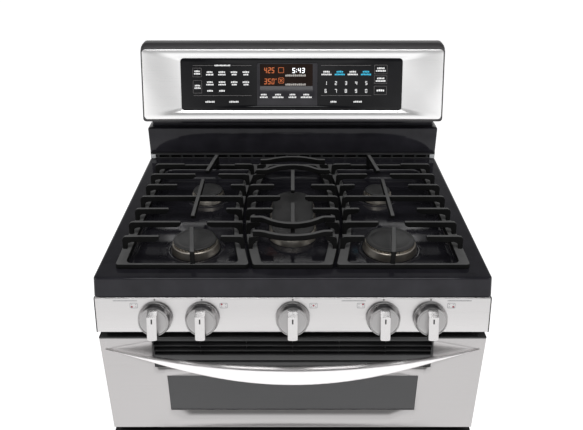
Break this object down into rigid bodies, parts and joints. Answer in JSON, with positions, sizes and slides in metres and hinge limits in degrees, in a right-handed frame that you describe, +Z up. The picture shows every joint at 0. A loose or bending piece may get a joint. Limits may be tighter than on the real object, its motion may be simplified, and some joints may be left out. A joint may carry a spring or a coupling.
{
  "type": "freestanding gas range",
  "caption": "Freestanding gas range with two ovens, cast grates, push-to-turn knobs, bowed door handles and a sloping control box behind the cooktop.",
  "frame": {"origin": "on the floor under the centre of the overall box", "axes": "+Z up, +Y towards the wall behind, +X to the cook's right; the doors and knobs face -Y"},
  "size_m": [0.759, 0.735, 1.208],
  "materials": {
    "stainless": "horizontally brushed stainless steel",
    "black_enamel": "gloss black porcelain enamel",
    "body_paint": "satin black baked paint",
    "galvanised_steel": "galvanised sheet",
    "oven_enamel": "dark speckled porcelain enamel",
    "cast_iron": "matte enamelled cast iron",
    "cap_enamel": "matte black enamel",
    "burner_aluminium": "cast, warm tint from heat",
    "black_plastic": "fine grained",
    "control_glass": "opaque black gloss glass",
    "display_plastic": "smoked window",
    "door_glass": "tinted oven glass",
    "knob_metal": "satin, brushed top",
    "brass": "machined",
    "zinc_steel": "zinc plated",
    "rack_wire": "bright wire",
    "gasket_rubber": "heat resistant cord",
    "igniter_ceramic": "glazed white"
  },
  "bodies": {
    "range_body": {"side_panel_left": "body_paint", "side_panel_right": "body_paint", "rear_panel": "galvanised_steel", "chassis": "galvanised_steel", "kick_plate": "body_paint", "levelling_legs": "zinc_steel", "upper_oven_liner": "oven_enamel", "lower_oven_liner": "oven_enamel", "oven_burners": "galvanised_steel", "fan_cover": "oven_enamel", "door_gaskets": "gasket_rubber", "cooktop_deck": "black_enamel", "riser": "black_enamel", "riser_vent_trim": "black_plastic", "control_housing": "black_plastic", "control_fascia": "stainless", "control_glass": "control_glass", "display_module": "display_plastic", "knob_panel": "stainless", "knob_bezels": "knob_metal", "gas_manifold": "zinc_steel", "valve_bodies": "brass", "gas_regulator": "burner_aluminium", "igniters": "igniter_ceramic", "burner_front_left": "burner_aluminium", "burner_front_right": "burner_aluminium", "burner_rear_left": "burner_aluminium", "burner_rear_right": "burner_aluminium", "burner_centre": "burner_aluminium", "cap_front_left": "cap_enamel", "cap_front_right": "cap_enamel", "cap_rear_left": "cap_enamel", "cap_rear_right": "cap_enamel", "cap_centre": "cap_enamel"},
    "upper_door": {"upper_door_skin": "stainless", "upper_door_vent": "black_plastic", "upper_door_handle": "stainless", "upper_door_glass": "door_glass", "upper_door_liner": "oven_enamel"},
    "lower_door": {"lower_door_skin": "stainless", "lower_door_vent": "black_plastic", "lower_door_handle": "stainless", "lower_door_glass": "door_glass", "lower_door_liner": "oven_enamel"},
    "valve_1": {"valve_rotor_1": "brass"},
    "knob_1": {"knob_1": "knob_metal"},
    "valve_2": {"valve_rotor_2": "brass"},
    "knob_2": {"knob_2": "knob_metal"},
    "valve_3": {"valve_rotor_3": "brass"},
    "knob_3": {"knob_3": "knob_metal"},
    "valve_4": {"valve_rotor_4": "brass"},
    "knob_4": {"knob_4": "knob_metal"},
    "valve_5": {"valve_rotor_5": "brass"},
    "knob_5": {"knob_5": "knob_metal"},
    "grate_left": {"grate_left": "cast_iron"},
    "grate_centre": {"grate_centre": "cast_iron"},
    "grate_right": {"grate_right": "cast_iron"},
    "fan": {"convection_fan": "galvanised_steel"},
    "upper_rack": {"upper_oven_rack": "rack_wire"},
    "lower_rack": {"lower_oven_rack": "rack_wire"}
  },
  "joints": [
    {"name": "upper_door_hinge", "type": "hinge", "parent": "range_body", "child": "upper_door", "pos_m": [0, -0.2805, 0.572], "axis": [1, 0, 0], "range_deg": [0, 90]},
    {"name": "lower_door_hinge", "type": "hinge", "parent": "range_body", "child": "lower_door", "pos_m": [0, -0.2805, 0.126], "axis": [1, 0, 0], "range_deg": [0, 90]},
    {"name": "valve_1_turn", "type": "hinge", "parent": "range_body", "child": "valve_1", "pos_m": [-0.2635, -0.29602, 0.83226], "axis": [0, -0.9816, 0.1908], "range_deg": [0, 240]},
    {"name": "knob_1_push", "type": "slide", "parent": "valve_1", "child": "knob_1", "axis": [0, 0.9816, -0.1908], "range_m": [0, 0.003], "stiffness_N_per_m": 600, "springref_m": -0.002},
    {"name": "valve_2_turn", "type": "hinge", "parent": "range_body", "child": "valve_2", "pos_m": [-0.1735, -0.29602, 0.83226], "axis": [0, -0.9816, 0.1908], "range_deg": [0, 240]},
    {"name": "knob_2_push", "type": "slide", "parent": "valve_2", "child": "knob_2", "axis": [0, 0.9816, -0.1908], "range_m": [0, 0.003], "stiffness_N_per_m": 600, "springref_m": -0.002},
    {"name": "valve_3_turn", "type": "hinge", "parent": "range_body", "child": "valve_3", "pos_m": [0, -0.29602, 0.83226], "axis": [0, -0.9816, 0.1908], "range_deg": [0, 240]},
    {"name": "knob_3_push", "type": "slide", "parent": "valve_3", "child": "knob_3", "axis": [0, 0.9816, -0.1908], "range_m": [0, 0.003], "stiffness_N_per_m": 600, "springref_m": -0.002},
    {"name": "valve_4_turn", "type": "hinge", "parent": "range_body", "child": "valve_4", "pos_m": [0.1735, -0.29602, 0.83226], "axis": [0, -0.9816, 0.1908], "range_deg": [0, 240]},
    {"name": "knob_4_push", "type": "slide", "parent": "valve_4", "child": "knob_4", "axis": [0, 0.9816, -0.1908], "range_m": [0, 0.003], "stiffness_N_per_m": 600, "springref_m": -0.002},
    {"name": "valve_5_turn", "type": "hinge", "parent": "range_body", "child": "valve_5", "pos_m": [0.2635, -0.29602, 0.83226], "axis": [0, -0.9816, 0.1908], "range_deg": [0, 240]},
    {"name": "knob_5_push", "type": "slide", "parent": "valve_5", "child": "knob_5", "axis": [0, 0.9816, -0.1908], "range_m": [0, 0.003], "stiffness_N_per_m": 600, "springref_m": -0.002},
    {"name": "grate_left_lift", "type": "slide", "parent": "range_body", "child": "grate_left", "axis": [0, 0, 1], "range_m": [0, 0.2]},
    {"name": "grate_centre_lift", "type": "slide", "parent": "range_body", "child": "grate_centre", "axis": [0, 0, 1], "range_m": [0, 0.2]},
    {"name": "grate_right_lift", "type": "slide", "parent": "range_body", "child": "grate_right", "axis": [0, 0, 1], "range_m": [0, 0.2]},
    {"name": "fan_spin", "type": "hinge", "parent": "range_body", "child": "fan", "pos_m": [0, 0.1975, 0.33], "axis": [0, -1, 0], "continuous": true},
    {"name": "upper_rack_slide", "type": "slide", "parent": "range_body", "child": "upper_rack", "axis": [0, -1, 0], "range_m": [0, 0.018]},
    {"name": "lower_rack_slide", "type": "slide", "parent": "range_body", "child": "lower_rack", "axis": [0, -1, 0], "range_m": [0, 0.018]}
  ]
}
